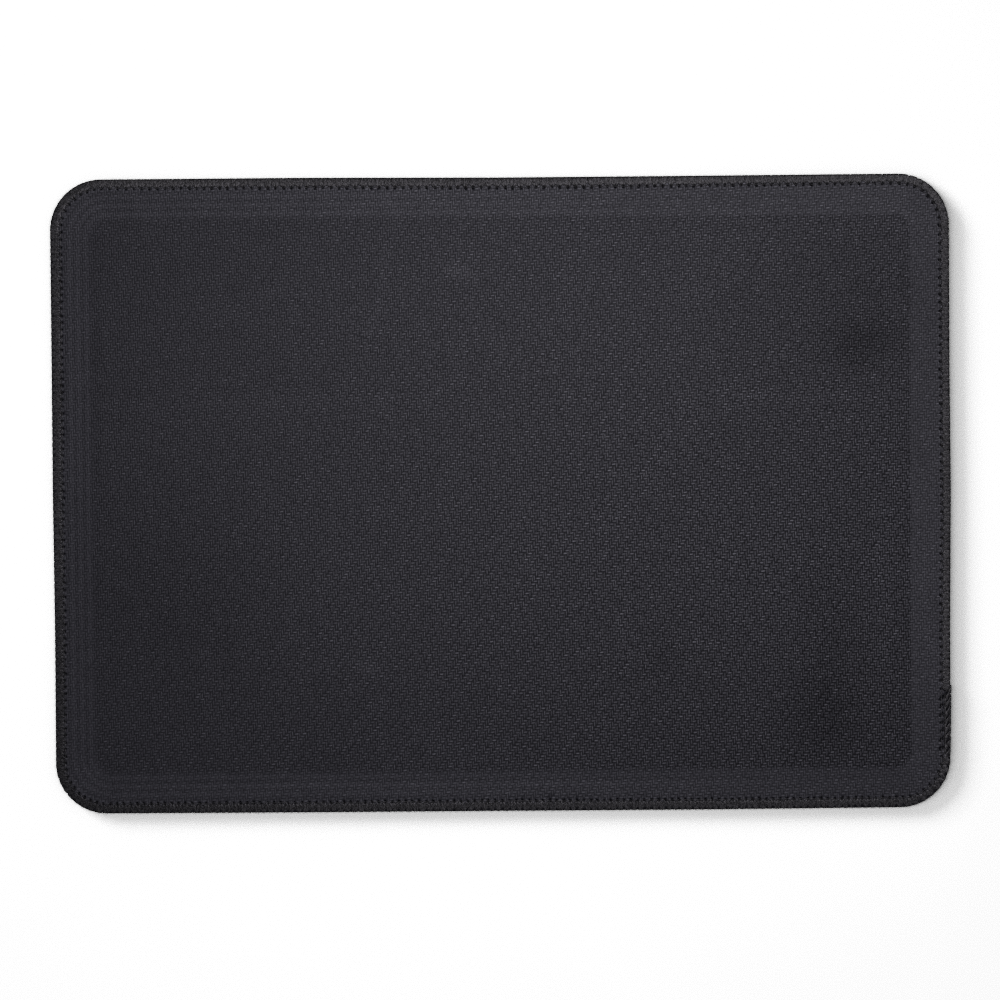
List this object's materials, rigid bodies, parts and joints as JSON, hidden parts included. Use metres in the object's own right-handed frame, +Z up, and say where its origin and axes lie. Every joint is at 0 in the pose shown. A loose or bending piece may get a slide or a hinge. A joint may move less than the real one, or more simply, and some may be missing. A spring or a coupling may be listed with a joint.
{
  "type": "mouse pad",
  "caption": "Rounded rectangular mouse pad: twill cloth bonded to a sponge rubber base, with an overlocked edge, for a mouse to run on.",
  "frame": {"origin": "on the desk, under the middle of the pad", "axes": "+X along the long side, +Y along the short side, +Z up out of the cloth face"},
  "size_m": [0.35, 0.2476, 0.003],
  "materials": {
    "cloth": "charcoal 2/2 twill, slightly lustrous, pressed flat beside the edge",
    "film": "translucent hot-melt film",
    "rubber": "matt black sponge rubber with a fine anti-slip relief",
    "thread": "black bulked polyester sewing thread"
  },
  "bodies": {
    "root": {"woven_top_cloth": "cloth", "adhesive_film": "film", "rubber_base": "rubber", "needle_thread": "thread", "upper_looper_thread": "thread", "lower_looper_thread": "thread"}
  },
  "joints": []
}
